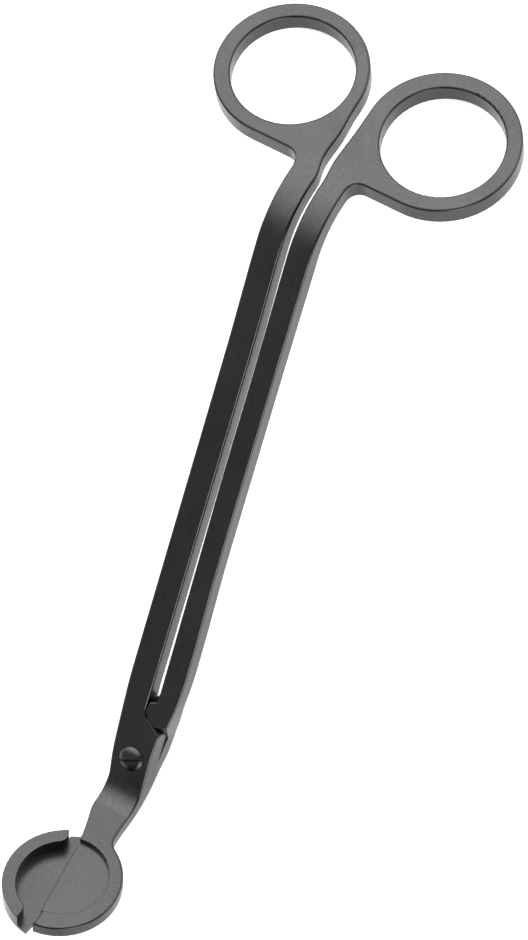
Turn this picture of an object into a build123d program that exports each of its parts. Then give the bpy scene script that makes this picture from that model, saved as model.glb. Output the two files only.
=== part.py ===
"""Wick trimmer: two cast arms crossing on one pivot screw, lying on its back, front side up.

Each arm is one bent plate.  Three flat stretches follow each other along it: the finger loop,
which leans back; the shank; and the jaw, which leans forward.  Everything is first modelled with
the shank level (X across, Y towards the loops, Z out of the front face, pivot at the origin) and
at the end is tipped as it lies on a table, with the origin on the table under its middle.
"""
from build123d import *
from math import cos, hypot, radians, sin, tan
import os

# ---- driving dimensions, millimetres and degrees -------------------------------------------
PLATE = 3.87                 # thickness of the shanks and loops
EDGE_ROUND = 0.45            # rounding of the arms' front edges
BACK_ROUND = 0.1             # and of their back edges
JAW_ROUND = 0.2              # rounding of the jaw rims' top edges
TABLE_TILT = 10.76           # the shank's slope when the tool lies on its back
PIVOT_PLACE = (-56.38, 7.91)  # the pivot's place along and above the table, from the tool's middle

SHOULDER_Y = 116.9           # where the shank plane meets the loop plane
SHOULDER_ANGLE = 52.9        # how far the loops lean back
SHOULDER_RADIUS = 16.0       # bend radius on the front face
NECK_Y = -8.6                # where the shank plane meets the jaw plane
NECK_ANGLE = 62.5            # how far the jaws lean forward
NECK_RADIUS = 5.5            # bend radius on the front face

HOLE_X = 15.67               # finger hole centre, off the middle of the tool
LOOP_L = 25.6                # finger hole centre, from the shoulder line
LOOP_HOLE_R = 11.3
LEFT_LOOP = (-15.9, 14.15)   # outline of a loop: centre across, radius
RIGHT_LOOP = (15.4, 14.5)
LEFT_WAIST = ((-1.15, 12.0), (-1.25, 18.0))      # the inner sides where the arms come closest
RIGHT_WAIST = ((0.78, 12.0), (0.85, 18.0))
LEFT_FLARE = -0.8            # how far the outer sides part towards the loop's foot
RIGHT_FLARE = 0.3
LOOP_FOOT_ROUND = 2.6        # inside corner between a loop and its shank

FRONT_SHANK = (-5.05, -0.05) # the front arm's sides along the shank
REAR_SHANK = (1.3, 5.6)      # the rear arm's sides along the shank
FRONT_SHOULDER = (-5.3, -0.3)                    # the front arm's sides through the shoulder
REAR_SHOULDER = (1.15, 5.7)  # the rear arm's sides through the shoulder
FLARE_Y = 85.0               # where the sides start to part towards the shoulder
SLOT_END = (1.72, 13.5)      # the corner of the rear arm at the slot's lower end
SLOT_ROUND = 0.4
FRONT_NECK = (-3.6, 3.85)    # the front arm's sides through the neck bend
REAR_NECK = (-3.0, 3.2)      # the rear arm's sides through the neck bend
SEAM = ((-0.1, 10.8), (0.7, 9.4), (4.0, 6.75))   # stop shoulder, from the slot to the boss corner
RAMP_LINE = ((3.6, 8.75), (5.65, 9.6))           # where the rear face starts down under the boss
RAMP_RUN = 3.8               # length of that slope, seen square to the shank

FRONT_BOSS = 4.2             # thickness of the front arm at the pivot
BOSS_GAP = 0.25              # space for the washer between the two arms
BOSS_STACK = 7.75            # both arms together at the pivot
BOSS_FRONT = -FRONT_BOSS - BOSS_GAP              # height of the rear boss's front face
JAW_THICK = 2.7              # the front jaw, rim to underside
TRAY_START = 8.6             # where the tray begins, from the neck line
TRAY_TOP = 2.85              # depth of the rear jaw's floor below the rims
TRAY_THICK = 0.7
TRAY_BACK = TRAY_TOP + TRAY_THICK
NECK_FRONT_DEPTH = 3.55      # depth of the rear neck's front face, clear of the swinging front neck
NECK_BACK_DEPTH = 4.6

FRONT_JAW_C = (0.11, 20.65)  # jaw centres: across, and from the neck line
REAR_JAW_C = (1.64, 21.35)
JAW_R = 11.65
RECESS_C = (0.5, 20.25)
RECESS_R = 8.5
RECESS_DEPTH = 0.95
RECESS_EDGE = 0.18           # rounding of the recess's top edge
BLADE_BEVEL = 0.12           # along the cutting edge
RIM_INNER_R = 9.05           # inside of the tray's tall rim
RIM_START = (-4.75, 10.0)    # the rim's upper end lies on the line from its centre to here
RIM_END_X = -1.6             # the rim's lower end
RIM_CORNERS = (((-2.8, 13.46), 1.6), ((-1.6, 29.8), 1.5))   # rounding of the ends' inner corners
TRAY_REACH = 3.2             # the tray runs this far on under the front jaw

SEAM_GAP = 0.15              # between the arms along the stop shoulder
PIN_R = 1.5
PIN_FIT = 0.04               # radial running clearance of the front arm on the screw
HOLE_R = PIN_R + PIN_FIT
HEAD_R = 2.5
HEAD_H = 1.0
HEAD_GAP = 0.05
SLOT_WIDTH = 0.5
SLOT_DEPTH = 0.6
SLOT_ANGLE = 28.0
THREAD_R = 1.2
THREAD_FIT = 0.03
SHOULDER_END = -5.4          # height where the screw's shoulder ends and its thread starts
SCREW_END = -7.35
WASHER_R = 2.9
WASHER_THICK = 0.2
NUT_R = 2.5
NUT_POCKET_R = 2.6
NUT_SEAT = -6.1              # height of the nut pocket's floor
NUT_THICK = 1.3
NUT_SLOT = 0.6

BIG = 60.0                   # half size of the construction blocks
TIP = 50.0                   # the bent plates run past the loops before they are trimmed
JAW_END = 40.0               # and past the jaws
TINY = 0.02

SHOULDER_REACH = SHOULDER_RADIUS * tan(radians(SHOULDER_ANGLE / 2))
NECK_REACH = NECK_RADIUS * tan(radians(NECK_ANGLE / 2))
SHANK_TOP = SHOULDER_Y - SHOULDER_REACH
SHANK_BOTTOM = NECK_Y + NECK_REACH

LOOP_PLANE = Plane(origin=(0, SHOULDER_Y, 0), x_dir=(1, 0, 0),
                   z_dir=(0, sin(radians(SHOULDER_ANGLE)), cos(radians(SHOULDER_ANGLE))))
JAW_PLANE = Plane(origin=(0, NECK_Y, 0), x_dir=(1, 0, 0),
                  z_dir=(0, sin(radians(NECK_ANGLE)), cos(radians(NECK_ANGLE))))


# ---- the bent frame: side-profile points (y, z) from a distance along and a depth ------------
def loop_point(along, depth=0.0):
    a = radians(SHOULDER_ANGLE)
    return (SHOULDER_Y + along * cos(a) - depth * sin(a), -along * sin(a) - depth * cos(a))


def jaw_point(along, depth=0.0):
    a = radians(NECK_ANGLE)
    return (NECK_Y - along * cos(a) - depth * sin(a), along * sin(a) - depth * cos(a))


def neck_corner(depth, z):
    """Where a face at this depth behind the jaw plane meets the level z."""
    a = radians(NECK_ANGLE)
    return jaw_point((z + depth * cos(a)) / sin(a), depth)


def back_shoulder_corner():
    """Where the back of the shank would meet the back of the loop."""
    a = radians(SHOULDER_ANGLE)
    return loop_point(PLATE * (1 - cos(a)) / sin(a), PLATE)


def rounded_outline(corners):
    """Closed face from (y, z, radius) corners; a radius of 0 leaves the corner sharp."""
    stations = []
    for i, (y, z, radius) in enumerate(corners):
        corner = Vector(y, z)
        if radius == 0:
            stations.append((corner, None, corner))
            continue
        back = (Vector(*corners[i - 1][:2]) - corner).normalized()
        ahead = (Vector(*corners[(i + 1) % len(corners)][:2]) - corner).normalized()
        half = radians(back.get_angle(ahead)) / 2
        reach = radius / tan(half)
        apex = corner + (back + ahead).normalized() * (radius / sin(half) - radius)
        stations.append((corner + back * reach, apex, corner + ahead * reach))
    edges = []
    for i, (start, apex, end) in enumerate(stations):
        if apex is not None:
            edges.append(ThreePointArc(start, apex, end))
        edges.append(Line(end, stations[(i + 1) % len(stations)][0]))
    return make_face(Wire(edges))


def across(profile):
    """Run a side profile right across the tool."""
    return extrude(Plane.YZ * profile, BIG, both=True)


def slab(profile, sides):
    """Run a side profile from one side of an arm to the other."""
    left, right = sides
    return Pos((left + right) / 2, 0, 0) * extrude(Plane.YZ * profile, (right - left) / 2, both=True)


def shoulder_wedge(sides):
    """The room of an arm through the shoulder bend: straight sides."""
    outline = [
        (SHANK_TOP, -SHOULDER_RADIUS),
        loop_point(SHOULDER_REACH, -BIG / 2),
        (SHOULDER_Y + BIG / 2, BIG / 2),
        (SHANK_TOP, BIG / 2),
    ]
    return slab(make_face(Polyline(outline, close=True)), sides)


def neck_wedge(sides):
    """The room of an arm through the neck bend: straight sides."""
    outline = [
        (SHANK_BOTTOM, NECK_RADIUS),
        (SHANK_BOTTOM, -BIG / 2),
        (NECK_Y - BIG / 2, -BIG / 2),
        jaw_point(NECK_REACH, BIG / 2),
    ]
    return slab(make_face(Polyline(outline, close=True)), sides)


def on_loop_plane(sketch):
    """A prism square to the loop plane; the sketch's y runs from the shoulder line."""
    return extrude(LOOP_PLANE * sketch, BIG, both=True)


def on_jaw_plane(sketch, top=-BIG, bottom=BIG):
    """A prism square to the jaw plane between two depths."""
    return extrude(JAW_PLANE.offset(-bottom) * sketch, bottom - top)


def jaw_xy(across_x, along):
    """A point on a jaw sketch, whose y runs back from the tip to the neck line."""
    return (across_x, -along)


def jaw_poly(points):
    return make_face(Polyline([jaw_xy(*p) for p in points], close=True))


def jaw_disc(centre, radius):
    return Pos(*jaw_xy(*centre)) * Circle(radius)


def round_corner(sketch, near, radius):
    """Round the sketch's corner nearest to a point."""
    corner = sketch.vertices().sort_by_distance((near[0], near[1], 0))[0]
    return fillet(corner, radius)


def skin_depth(point):
    """How deep a point lies behind the arm's bent front face."""
    a = radians(SHOULDER_ANGLE)
    b = radians(NECK_ANGLE)
    y, z = point.Y, point.Z
    if (y - SHOULDER_Y) * cos(a) - z * sin(a) > SHOULDER_REACH - TINY:
        return -(y - SHOULDER_Y) * sin(a) - z * cos(a)
    if (NECK_Y - y) * cos(b) + z * sin(b) > NECK_REACH - TINY:
        return (NECK_Y - y) * sin(b) - z * cos(b)
    if y > SHANK_TOP:
        return SHOULDER_RADIUS - hypot(y - SHANK_TOP, z + SHOULDER_RADIUS)
    if y < SHANK_BOTTOM:
        return hypot(y - SHANK_BOTTOM, z - NECK_RADIUS) - NECK_RADIUS
    return -z


def outline_edges(body, depth, above=-BIG):
    """The edges at one depth where the arm's side walls meet its front or back."""
    found = ShapeList()
    for face in body.faces():
        depths = [skin_depth(v) for v in face.vertices()]
        if max(depths) - min(depths) < 1:
            continue
        for edge in face.edges():
            points = [edge.position_at(t) for t in (0, 0.3, 0.7, 1)]
            if all(abs(skin_depth(p) - depth) < TINY and p.Y > above for p in points):
                found.append(edge)
    return found


def rounded(body, back_above):
    """Round the long edges of a bent arm, back and front."""
    body = fillet(outline_edges(body, PLATE, back_above), BACK_ROUND)
    return fillet(outline_edges(body, 0), EDGE_ROUND)


# ---- finger loops ----------------------------------------------------------------------------
def loop_plan(sides, waist, flare, loop):
    """Plan of a finger loop and the straight stretch below it."""
    inner, outer = sorted(sides, key=abs)
    centre_x, radius = loop
    touch = centre_x - radius if centre_x > 0 else centre_x + radius
    foot = LOOP_L - radius
    foot_x = outer + flare
    outline = [
        Line((outer, SHOULDER_REACH), (inner, SHOULDER_REACH)),
        Spline((inner, SHOULDER_REACH), *waist, (touch, LOOP_L), tangents=((0, 1), (0, 1))),
        Line((touch, LOOP_L), (centre_x, LOOP_L)),
        Line((centre_x, LOOP_L), (centre_x, foot)),
        Line((centre_x, foot), (foot_x, foot)),
        Spline((foot_x, foot), (outer, SHOULDER_REACH), tangents=((-flare, -3), (0, -1))),
    ]
    plan = make_face(Wire(outline)) + Pos(centre_x, LOOP_L) * Circle(radius)
    plan = round_corner(plan, (foot_x, foot), LOOP_FOOT_ROUND)
    hole_x = HOLE_X if centre_x > 0 else -HOLE_X
    return plan - Pos(hole_x, LOOP_L) * Circle(LOOP_HOLE_R)


# ---- front arm: left loop, right jaw ---------------------------------------------------------
def cutting_edge_x(along):
    """The front jaw's cutting edge: its place across, at a distance from the neck line."""
    return -1.3 + (along - 11.4) * 0.132


def front_profile():
    return rounded_outline([
        (*loop_point(TIP), 0),
        (SHOULDER_Y, 0, SHOULDER_RADIUS),
        (NECK_Y, 0, NECK_RADIUS),
        (*jaw_point(JAW_END), 0),
        (*jaw_point(JAW_END, JAW_THICK), 0),
        (*neck_corner(JAW_THICK, -FRONT_BOSS), 12.0),
        (12.0, -FRONT_BOSS, 8.0),
        (15.0, -PLATE, 8.0),
        (*back_shoulder_corner(), SHOULDER_RADIUS - PLATE),
        (*loop_point(TIP, PLATE), 0),
    ])


def front_shank_plan():
    left, right = FRONT_SHANK
    top_left, top_right = FRONT_SHOULDER
    neck_left, neck_right = FRONT_NECK
    outline = [
        Spline((top_left, SHANK_TOP), (left, FLARE_Y), tangents=((0, -1), (0, -1))),
        Line((left, FLARE_Y), (left, 18)),
        Spline((left, 18), (-4.6, 5.5), (-4.1, -1.5), (neck_left, SHANK_BOTTOM), tangents=((0, -1), (0.1, -1))),
        Line((neck_left, SHANK_BOTTOM), (neck_right, SHANK_BOTTOM)),
        Spline((neck_right, SHANK_BOTTOM), (3.7, -0.5), SEAM[2], tangents=((0, 1), (0.1, 1))),
        Line(SEAM[2], SEAM[1]),
        Line(SEAM[1], SEAM[0]),
        Spline(SEAM[0], (right, 24), tangents=((0, 1), (0, 1))),
        Line((right, 24), (right, FLARE_Y)),
        Spline((right, FLARE_Y), (top_right, SHANK_TOP), tangents=((0, 1), (0, 1))),
        Line((top_right, SHANK_TOP), (top_left, SHANK_TOP)),
    ]
    plan = make_face(Wire(outline))
    plan = round_corner(plan, SEAM[2], 0.6)
    plan = round_corner(plan, SEAM[1], 1.2)
    return round_corner(plan, SEAM[0], 1.2)


def front_jaw_plan():
    neck_left, neck_right = FRONT_NECK
    tip = jaw_xy(cutting_edge_x(11.4), 11.4)
    side = jaw_xy(4.3, 12.0)
    neck = make_face(Wire([
        Spline(jaw_xy(neck_left, NECK_REACH), jaw_xy(-2.6, 7.0), tip, tangents=((0.1, -1), (0.3, -1))),
        Line(tip, jaw_xy(cutting_edge_x(14), 14)),
        Line(jaw_xy(cutting_edge_x(14), 14), jaw_xy(4.3, 14)),
        Line(jaw_xy(4.3, 14), side),
        Spline(side, jaw_xy(neck_right, NECK_REACH), tangents=((0, 1), (0, 1))),
        Line(jaw_xy(neck_right, NECK_REACH), jaw_xy(neck_left, NECK_REACH)),
    ]))
    keep = jaw_poly([(cutting_edge_x(9), 9), (cutting_edge_x(28.4), 28.4), (1.55, 28.4), (1.6, JAW_END),
                     (20, JAW_END), (20, 5), (3.0, 5), (3.0, 9)])
    plan = neck + (jaw_disc(FRONT_JAW_C, JAW_R) & keep)
    return round_corner(plan, jaw_xy(4.3, 9.9), 3.2)


def front_arm():
    room = extrude(front_shank_plan(), BIG / 2, both=True)
    room += shoulder_wedge(FRONT_SHOULDER)
    room += neck_wedge(FRONT_NECK)
    room += on_loop_plane(loop_plan(FRONT_SHOULDER, LEFT_WAIST, LEFT_FLARE, LEFT_LOOP))
    room += on_jaw_plane(front_jaw_plan())
    body = rounded(across(front_profile()) & room, back_above=15.2)
    body -= on_jaw_plane(jaw_disc(RECESS_C, RECESS_R), -5, RECESS_DEPTH)
    body = fillet(recess_edges(body), RECESS_EDGE)
    body = chamfer(cutting_edge(body), BLADE_BEVEL)
    return body - Cylinder(HOLE_R, BIG)


def recess_edges(body):
    """The edges where the recess meets the rim's top."""
    round_edges = body.edges().filter_by(GeomType.CIRCLE)
    return [e for e in round_edges if abs(e.radius - RECESS_R) < TINY and abs(skin_depth(e @ 0.5)) < TINY]


def cutting_edge(body):
    """The long top edge of the blade, at the bottom of the recess."""
    level = [e for e in body.edges() if abs(skin_depth(e @ 0.5) - RECESS_DEPTH) < TINY]
    return ShapeList(level).filter_by(GeomType.LINE).sort_by(SortBy.LENGTH)[-1]


# ---- rear arm: right loop, left jaw ----------------------------------------------------------
def rear_profile():
    return rounded_outline([
        (*loop_point(TIP), 0),
        (SHOULDER_Y, 0, SHOULDER_RADIUS),
        (4.0, 0, 0),
        (4.0, BOSS_FRONT, 0),
        (*neck_corner(NECK_FRONT_DEPTH, BOSS_FRONT), 10.0),
        (*jaw_point(TRAY_START, NECK_FRONT_DEPTH), 1.0),
        (*jaw_point(TRAY_START + 1, TRAY_TOP), 0),
        (*jaw_point(JAW_END, TRAY_TOP), 0),
        (*jaw_point(JAW_END, TRAY_BACK), 0),
        (*jaw_point(12.5, TRAY_BACK), 4.0),
        (*jaw_point(10.0, NECK_BACK_DEPTH), 3.0),
        (*neck_corner(NECK_BACK_DEPTH, -BOSS_STACK), 16.0),
        (4.0, -BOSS_STACK, 4.0),
        (13.0, -PLATE, 8.0),
        (*back_shoulder_corner(), SHOULDER_RADIUS - PLATE),
        (*loop_point(TIP, PLATE), 0),
    ])


def rear_shank_plan():
    left, right = REAR_SHANK
    top_left, top_right = REAR_SHOULDER
    neck_left, neck_right = REAR_NECK
    outline = [
        Spline((top_left, SHANK_TOP), (left, FLARE_Y), tangents=((0, -1), (0, -1))),
        Line((left, FLARE_Y), (left, 60)),
        Line((left, 60), SLOT_END),
        Line(SLOT_END, (0.25, 12.7)),
        Line((0.25, 12.7), (0.0, 10.9)),
        Line((0.0, 10.9), (-3.0, 6.2)),
        Spline((-3.0, 6.2), (-4.0, 1.5), (neck_left, SHANK_BOTTOM), tangents=((-0.617, -1), (0, -1))),
        Line((neck_left, SHANK_BOTTOM), (neck_right, SHANK_BOTTOM)),
        Spline((neck_right, SHANK_BOTTOM), (3.7, 0.0), (4.08, 4.5), (4.8, 8.0), (5.75, 14.5), (6.0, 24),
               (right, 48), tangents=((0, 1), (0, 1))),
        Line((right, 48), (right, FLARE_Y)),
        Spline((right, FLARE_Y), (top_right, SHANK_TOP), tangents=((0, 1), (0, 1))),
        Line((top_right, SHANK_TOP), (top_left, SHANK_TOP)),
    ]
    return round_corner(make_face(Wire(outline)), SLOT_END, SLOT_ROUND)


def rear_jaw_plan():
    neck_left, neck_right = REAR_NECK
    far = REAR_JAW_C[1] + JAW_R + 1
    under = far - 3.2
    neck = make_face(Wire([
        Spline(jaw_xy(neck_left, NECK_REACH), jaw_xy(-2.45, TRAY_START), tangents=((0, -1), (0, -1))),
        Line(jaw_xy(-2.45, TRAY_START), jaw_xy(-2.45, 13)),
        Line(jaw_xy(-2.45, 13), jaw_xy(2.9, 13)),
        Line(jaw_xy(2.9, 13), jaw_xy(2.9, 7)),
        Spline(jaw_xy(2.9, 7), jaw_xy(neck_right, NECK_REACH), tangents=((0, 1), (0, 1))),
        Line(jaw_xy(neck_right, NECK_REACH), jaw_xy(neck_left, NECK_REACH)),
    ]))
    keep = jaw_poly([(-15, TRAY_START), (-15, far), (0.4, far), (0.7, under),
                     (cutting_edge_x(under) + TRAY_REACH, under),
                     (cutting_edge_x(TRAY_START) + TRAY_REACH, TRAY_START)])
    plan = neck + (jaw_disc(REAR_JAW_C, JAW_R) & keep)
    return round_corner(plan, jaw_xy(-2.45, 10.4), 1.2)


def rear_rim():
    """The tall rim round the tray: a C standing up to the level of the front jaw."""
    ring = jaw_disc(REAR_JAW_C, JAW_R) - jaw_disc(REAR_JAW_C, RIM_INNER_R)
    plan = ring & jaw_poly([REAR_JAW_C, RIM_START, (-20, 10), (-20, JAW_END), (RIM_END_X, JAW_END),
                            (RIM_END_X, 29)])
    for near, radius in RIM_CORNERS:
        plan = round_corner(plan, jaw_xy(*near), radius)
    return on_jaw_plane(plan, 0, TRAY_BACK)


def tray_ledge():
    """The short ledge that fills the corner of the tray between the rim's end and the neck."""
    plan = jaw_poly([(-4.05, 10.75), (-2.0, 9.65), (-2.0, 12.5), (-4.05, 12.5)])
    return on_jaw_plane(plan, TRAY_TOP, TRAY_BACK)


def rim_edges(body):
    """The edges of the rim's top, the only ones of the rear jaw level with the arm's front."""
    return [e for e in body.edges() if e.center().Y < NECK_Y
            and all(abs(skin_depth(e @ t)) < TINY for t in (0, 0.5, 1))]


def above_ramp():
    """What is taken off above the ramp and the boss of the rear arm."""
    (x0, y0), (x1, y1) = RAMP_LINE
    drop = -BOSS_FRONT
    wedge = make_face(Polyline([(0, 0), (0, 5), (BIG, 5), (BIG, -drop), (RAMP_RUN, -drop)], close=True))
    side_on = Plane(origin=(x0, y0, 0), x_dir=(y1 - y0, x0 - x1, 0), z_dir=(x0 - x1, y0 - y1, 0))
    return extrude(side_on * wedge, BIG, both=True) & Pos(0, 4, 0) * Box(BIG, 16, BIG)


def front_boss_room():
    """The space that the front arm's boss takes, with the seam gap, down to the rear boss."""
    seam = [(x + SEAM_GAP * 0.7, y + SEAM_GAP) for x, y in SEAM]
    outline = [*seam, (seam[2][0] + 0.5, -4), (-20, -4), (-20, 12.4), (-0.1, 12.4)]
    return Pos(0, 0, BOSS_FRONT) * extrude(make_face(Polyline(outline, close=True)), 10)


def rear_arm():
    room = extrude(rear_shank_plan(), BIG / 2, both=True)
    room += shoulder_wedge(REAR_SHOULDER)
    room += neck_wedge(REAR_NECK)
    room += on_loop_plane(loop_plan(REAR_SHOULDER, RIGHT_WAIST, RIGHT_FLARE, RIGHT_LOOP))
    room += on_jaw_plane(rear_jaw_plan())
    body = rounded(across(rear_profile()) & room, back_above=14.0)
    body -= above_ramp()
    body -= front_boss_room()
    body += tray_ledge()
    body += rear_rim()
    body = fillet(rim_edges(body), JAW_ROUND)
    body -= Cylinder(HOLE_R, BIG)
    return body - Pos(0, 0, NUT_SEAT - BIG / 2) * Cylinder(NUT_POCKET_R, BIG)


# ---- pivot hardware --------------------------------------------------------------------------
def pivot_screw():
    """Slotted dome-head shoulder screw; its shoulder runs in the front arm."""
    crown = HEAD_GAP + HEAD_H
    outline = Wire([
        Line((0, HEAD_GAP), (HEAD_R, HEAD_GAP)),
        Spline((HEAD_R, HEAD_GAP), (1.5, crown - 0.14), (0, crown), tangents=((-0.3, 1), (-1, 0))),
        Line((0, crown), (0, HEAD_GAP)),
    ])
    head = revolve(Plane.XZ * make_face(outline), Axis.Z)
    slot = Rot(0, 0, SLOT_ANGLE) * Pos(0, 0, crown) * Box(3 * HEAD_R, SLOT_WIDTH, 2 * SLOT_DEPTH)
    shoulder = Pos(0, 0, (HEAD_GAP + SHOULDER_END) / 2) * Cylinder(PIN_R, HEAD_GAP - SHOULDER_END)
    thread = Pos(0, 0, (SHOULDER_END + SCREW_END) / 2) * Cylinder(THREAD_R, SHOULDER_END - SCREW_END)
    screw = head - slot + shoulder + thread
    tip = screw.edges().filter_by(GeomType.CIRCLE).sort_by(Axis.Z)[0]
    return chamfer(tip, 0.2)


def pivot_washer():
    """Thin shim between the two bosses."""
    ring = Cylinder(WASHER_R, WASHER_THICK) - Cylinder(HOLE_R, 1)
    return Pos(0, 0, BOSS_FRONT + WASHER_THICK / 2) * ring


def pivot_nut():
    """Round slotted nut, sunk in the back of the rear boss."""
    nut = Cylinder(NUT_R, NUT_THICK) - Cylinder(THREAD_R + THREAD_FIT, 5)
    rim = nut.edges().filter_by(GeomType.CIRCLE).group_by(Axis.Z)[0].sort_by(SortBy.RADIUS)[-1]
    nut = chamfer(rim, 0.2)
    nut -= Pos(0, 0, -NUT_THICK / 2) * Box(3 * NUT_R, NUT_SLOT, NUT_THICK)
    return Pos(0, 0, NUT_SEAT - NUT_THICK / 2) * nut


# ---- the tool, tipped as it lies on its back -------------------------------------------------
NODES = {
    "front_arm": front_arm,
    "rear_arm": rear_arm,
    "pivot_screw": pivot_screw,
    "pivot_washer": pivot_washer,
    "pivot_nut": pivot_nut,
}

os.makedirs("parts", exist_ok=True)
for name, build in NODES.items():
    node = Pos(0, *PIVOT_PLACE) * Rot(TABLE_TILT, 0, 0) * build()
    export_step(node, "parts/" + name + ".step")
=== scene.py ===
"""Wick trimmer lying on its back on a white table, in satin dark-nickel steel."""

import bpy
from mathutils import Matrix, Vector

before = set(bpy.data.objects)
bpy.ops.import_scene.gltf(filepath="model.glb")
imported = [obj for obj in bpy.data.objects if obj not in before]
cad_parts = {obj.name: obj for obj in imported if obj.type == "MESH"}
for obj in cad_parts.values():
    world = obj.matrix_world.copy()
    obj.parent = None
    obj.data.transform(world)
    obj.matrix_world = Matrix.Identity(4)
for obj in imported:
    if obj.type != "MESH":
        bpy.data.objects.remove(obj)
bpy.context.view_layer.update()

# ---- camera: a long lens, the tool filling the frame ----------------------------------------
CAMERA_AT = Vector((0.372461, 0.368030, 1.068811))
CAMERA_RIGHT = Vector((0.848607, 0.335530, -0.409007))
CAMERA_UP = Vector((-0.427262, 0.890587, -0.155887))
CAMERA_BACK = Vector((0.311951, 0.307040, 0.899118))
FOCAL_OVER_HEIGHT = 6480.0 / 940.0  # focal length in picture heights
SENSOR = 36.0                       # sensor height, mm
CLIP_NEAR = 0.05
CLIP_FAR = 20.0

# ---- light -----------------------------------------------------------------------------------
TABLE_SIZE = 1.6
TABLE_GLOW = 0.6
TABLE_GREY = 0.80
TABLE_ROUGH = 0.9
KEY_FROM = (-0.31, 0.86, 0.39)      # the big soft light, over and behind the loops
KEY_START = 0.25                    # cosine off its middle where it begins
KEY_FULL = 1.0                      # and where it is at its full level
KEY_LEVEL = 3.9
SIDE_FROM = (0.75, -0.60, 0.28)     # a small low light beside the jaws
SIDE_START = 0.91
SIDE_FULL = 0.98
SIDE_LEVEL = 5.0
ROOM_LEVEL = 0.50
WALL_START = 0.34                   # sine of the height where the brighter low walls end
WALL_FULL = 0.14
WALL_LEVEL = 1.5
SHADE_START = 0.0                   # the room darkens to the right, from here
SHADE_FULL = 0.5                    # to here (sine of the angle off the tool's length)
SHADE_LEVEL = 0.05
COOL = (0.93, 0.97, 1.04)           # tint of the room
WARM = (1.0, 1.0, 0.985)            # tint of the big light

# ---- metal -----------------------------------------------------------------------------------
ARM_DARK = (0.036, 0.038, 0.040)    # the two ends of the plating's colour
ARM_LIGHT = (0.072, 0.072, 0.071)
WASHER_DARK = (0.16, 0.16, 0.16)
WASHER_LIGHT = (0.25, 0.25, 0.25)
ARM_ROUGH = 0.30
SCREW_ROUGH = 0.28
SMALL_GRAIN = 0.3                   # brushing on the screw and nut, against 1 on the arms
BRUSH_SCALE = (2600.0, 160.0, 2600.0)   # brush lines run along Y
CLOUD_SCALE = (60.0, 60.0, 60.0)
SPECK_SCALE = (900.0, 900.0, 900.0)
NOISE_LOW = 0.30                    # the part of the noise that is stretched to 0..1
NOISE_HIGH = 0.70
TONE_BRUSH = 0.35                   # share of each pattern in the colour
TONE_CLOUD = 0.35
TONE_SPECK = 0.3
EDGE_RADIUS = 0.0004                # width of the worn edges
EDGE_SAMPLES = 6
EDGE_COSINE = 0.80                  # turn of the normal at which the wear is full
EDGE_WEAR = 0.2
ROUGH_SPECK = 0.14                  # share of each pattern in the roughness
ROUGH_CLOUD = 0.05
ROUGH_MIDDLE = 0.10                 # what the two add on average
BUMP_BRUSH = 0.5                    # share of each pattern in the height
BUMP_SPECK = 0.8
BUMP_STRENGTH = 0.2
BUMP_HEIGHT = 0.00006


def aim(obj, at, right, up, back):
    """Place an object by its three axes."""
    turn = Matrix((right, up, back)).transposed()
    obj.matrix_world = Matrix.Translation(at) @ turn.to_4x4()


def make_camera():
    data = bpy.data.cameras.new("camera")
    data.sensor_fit = "VERTICAL"
    data.sensor_height = SENSOR
    data.lens = SENSOR * FOCAL_OVER_HEIGHT
    data.clip_start = CLIP_NEAR
    data.clip_end = CLIP_FAR
    camera = bpy.data.objects.new("camera", data)
    bpy.context.scene.collection.objects.link(camera)
    aim(camera, CAMERA_AT, CAMERA_RIGHT, CAMERA_UP, CAMERA_BACK)
    bpy.context.scene.camera = camera


# ---- materials -------------------------------------------------------------------------------
class Nodes:
    """Small helper to wire a node material."""

    def __init__(self, name):
        self.material = bpy.data.materials.new(name)
        self.material.use_nodes = True
        self.tree = self.material.node_tree
        self.tree.nodes.clear()
        self.shader = self.add("ShaderNodeBsdfPrincipled")
        out = self.add("ShaderNodeOutputMaterial")
        self.wire(self.shader.outputs["BSDF"], out.inputs["Surface"])

    def add(self, kind, **settings):
        node = self.tree.nodes.new(kind)
        for key, value in settings.items():
            setattr(node, key, value)
        return node

    def wire(self, source, target):
        self.tree.links.new(source, target)

    def place(self, scale):
        """Object coordinates stretched by a scale."""
        coords = self.add("ShaderNodeTexCoord")
        mapping = self.add("ShaderNodeMapping")
        mapping.inputs["Scale"].default_value = scale
        self.wire(coords.outputs["Object"], mapping.inputs["Vector"])
        return mapping.outputs["Vector"]

    def noise(self, vector, detail, roughness=0.55):
        noise = self.add("ShaderNodeTexNoise")
        noise.inputs["Scale"].default_value = 1.0
        noise.inputs["Detail"].default_value = detail
        noise.inputs["Roughness"].default_value = roughness
        self.wire(vector, noise.inputs["Vector"])
        return noise.outputs["Fac"]

    def remap(self, value, low, high, to_low, to_high):
        node = self.add("ShaderNodeMapRange")
        node.inputs["From Min"].default_value = low
        node.inputs["From Max"].default_value = high
        node.inputs["To Min"].default_value = to_low
        node.inputs["To Max"].default_value = to_high
        self.wire(value, node.inputs["Value"])
        return node.outputs["Result"]

    def stretch(self, noise):
        """The middle of a noise spread over 0..1."""
        return self.remap(noise, NOISE_LOW, NOISE_HIGH, 0.0, 1.0)

    def math(self, operation, a, b):
        node = self.add("ShaderNodeMath", operation=operation)
        for socket, value in ((node.inputs[0], a), (node.inputs[1], b)):
            if isinstance(value, (int, float)):
                socket.default_value = value
            else:
                self.wire(value, socket)
        return node.outputs["Value"]

    def blend(self, factor, dark, light):
        ramp = self.add("ShaderNodeValToRGB")
        ramp.color_ramp.elements[0].color = (*dark, 1)
        ramp.color_ramp.elements[1].color = (*light, 1)
        self.wire(factor, ramp.inputs["Fac"])
        return ramp.outputs["Color"]


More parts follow.
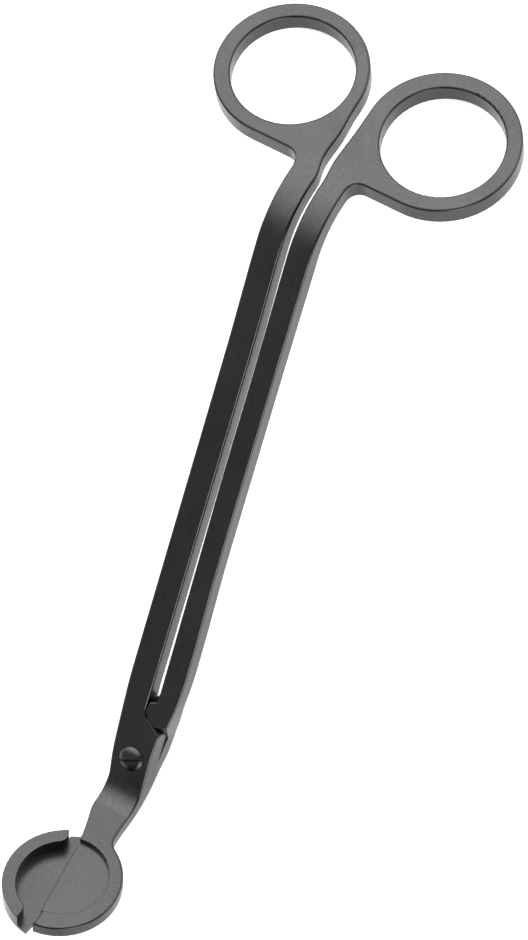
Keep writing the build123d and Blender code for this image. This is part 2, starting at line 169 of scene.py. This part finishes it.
def dark_steel(name, dark=ARM_DARK, light=ARM_LIGHT, rough=ARM_ROUGH, grain=1.0):
    """Satin dark-nickel plate: brushed along the tool, a little worn along the edges."""
    n = Nodes(name)
    brush = n.stretch(n.noise(n.place(BRUSH_SCALE), detail=3.0))
    cloud = n.stretch(n.noise(n.place(CLOUD_SCALE), detail=3.0))
    speck = n.noise(n.place(SPECK_SCALE), detail=5.0, roughness=0.7)
    tone = n.math("ADD", n.math("MULTIPLY", brush, TONE_BRUSH), n.math("MULTIPLY", cloud, TONE_CLOUD))
    tone = n.math("ADD", tone, n.math("MULTIPLY", speck, TONE_SPECK))
    bevel = n.add("ShaderNodeBevel", samples=EDGE_SAMPLES)
    bevel.inputs["Radius"].default_value = EDGE_RADIUS
    geometry = n.add("ShaderNodeNewGeometry")
    dot = n.add("ShaderNodeVectorMath", operation="DOT_PRODUCT")
    n.wire(bevel.outputs["Normal"], dot.inputs[0])
    n.wire(geometry.outputs["Normal"], dot.inputs[1])
    worn = n.remap(dot.outputs["Value"], 1.0, EDGE_COSINE, 0.0, EDGE_WEAR)
    n.wire(n.blend(n.math("ADD", tone, worn), dark, light), n.shader.inputs["Base Color"])
    n.shader.inputs["Metallic"].default_value = 1.0
    uneven = n.math("ADD", n.math("MULTIPLY", speck, ROUGH_SPECK), n.math("MULTIPLY", cloud, ROUGH_CLOUD))
    n.wire(n.math("ADD", uneven, rough - ROUGH_MIDDLE), n.shader.inputs["Roughness"])
    height = n.math("ADD", n.math("MULTIPLY", brush, BUMP_BRUSH * grain),
                    n.math("MULTIPLY", speck, BUMP_SPECK))
    bump = n.add("ShaderNodeBump")
    bump.inputs["Strength"].default_value = BUMP_STRENGTH
    bump.inputs["Distance"].default_value = BUMP_HEIGHT
    n.wire(height, bump.inputs["Height"])
    n.wire(bump.outputs["Normal"], n.shader.inputs["Normal"])
    return n.material


def table_white():
    n = Nodes("table_white")
    n.shader.inputs["Base Color"].default_value = (TABLE_GREY, TABLE_GREY, TABLE_GREY, 1)
    n.shader.inputs["Roughness"].default_value = TABLE_ROUGH
    n.shader.inputs["Specular IOR Level"].default_value = 0.0
    n.shader.inputs["Emission Color"].default_value = (1, 1, 1, 1)
    n.shader.inputs["Emission Strength"].default_value = TABLE_GLOW
    return n.material


def dress(node, material):
    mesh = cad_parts[node].data
    mesh.materials.clear()
    mesh.materials.append(material)


def make_table():
    half = TABLE_SIZE / 2
    mesh = bpy.data.meshes.new("table")
    corners = [(-half, -half, 0), (half, -half, 0), (half, half, 0), (-half, half, 0)]
    mesh.from_pydata(corners, [], [(0, 1, 2, 3)])
    mesh.materials.append(table_white())
    table = bpy.data.objects.new("table", mesh)
    bpy.context.scene.collection.objects.link(table)


def make_world():
    """A dim room, darker on the right, with brighter low walls, a big soft light and a small one."""
    world = bpy.data.worlds.new("studio")
    world.use_nodes = True
    tree = world.node_tree
    background = tree.nodes["Background"]
    coords = tree.nodes.new("ShaderNodeTexCoord")

    def facing(direction, low, high, at_low, at_high, kind="SMOOTHSTEP"):
        """A step in the cosine of the angle to a direction."""
        dot = tree.nodes.new("ShaderNodeVectorMath")
        dot.operation = "DOT_PRODUCT"
        dot.inputs[1].default_value = Vector(direction).normalized()
        tree.links.new(coords.outputs["Generated"], dot.inputs[0])
        step = tree.nodes.new("ShaderNodeMapRange")
        step.interpolation_type = kind
        step.inputs["From Min"].default_value = low
        step.inputs["From Max"].default_value = high
        step.inputs["To Min"].default_value = at_low
        step.inputs["To Max"].default_value = at_high
        tree.links.new(dot.outputs["Value"], step.inputs["Value"])
        return step.outputs["Result"]

    def combine(operation, a, b):
        node = tree.nodes.new("ShaderNodeMath")
        node.operation = operation
        tree.links.new(a, node.inputs[0])
        tree.links.new(b, node.inputs[1])
        return node.outputs["Value"]

    room = facing((0, 0, 1), WALL_FULL, WALL_START, WALL_LEVEL, ROOM_LEVEL)
    shade = facing((1, 0, 0), SHADE_START, SHADE_FULL, 1.0, SHADE_LEVEL)
    key = facing(KEY_FROM, KEY_START, KEY_FULL, 0.0, KEY_LEVEL, "LINEAR")
    side = facing(SIDE_FROM, SIDE_START, SIDE_FULL, 0.0, SIDE_LEVEL)
    lights = combine("MAXIMUM", key, side)
    dimmed = combine("MULTIPLY", room, shade)
    tree.links.new(combine("MAXIMUM", dimmed, lights), background.inputs["Strength"])
    tint = tree.nodes.new("ShaderNodeValToRGB")
    tint.color_ramp.elements[0].color = (*COOL, 1)
    tint.color_ramp.elements[1].color = (*WARM, 1)
    tree.links.new(key, tint.inputs["Fac"])
    tree.links.new(tint.outputs["Color"], background.inputs["Color"])
    bpy.context.scene.world = world
    bpy.context.scene.view_settings.view_transform = "Standard"


make_camera()
make_world()
make_table()

steel = dark_steel("arm_steel")
dress("front_arm", steel)
dress("rear_arm", steel)
dress("pivot_screw", dark_steel("pivot_steel", rough=SCREW_ROUGH, grain=SMALL_GRAIN))
dress("pivot_nut", dark_steel("nut_steel", grain=SMALL_GRAIN))
dress("pivot_washer", dark_steel("washer_steel", WASHER_DARK, WASHER_LIGHT))
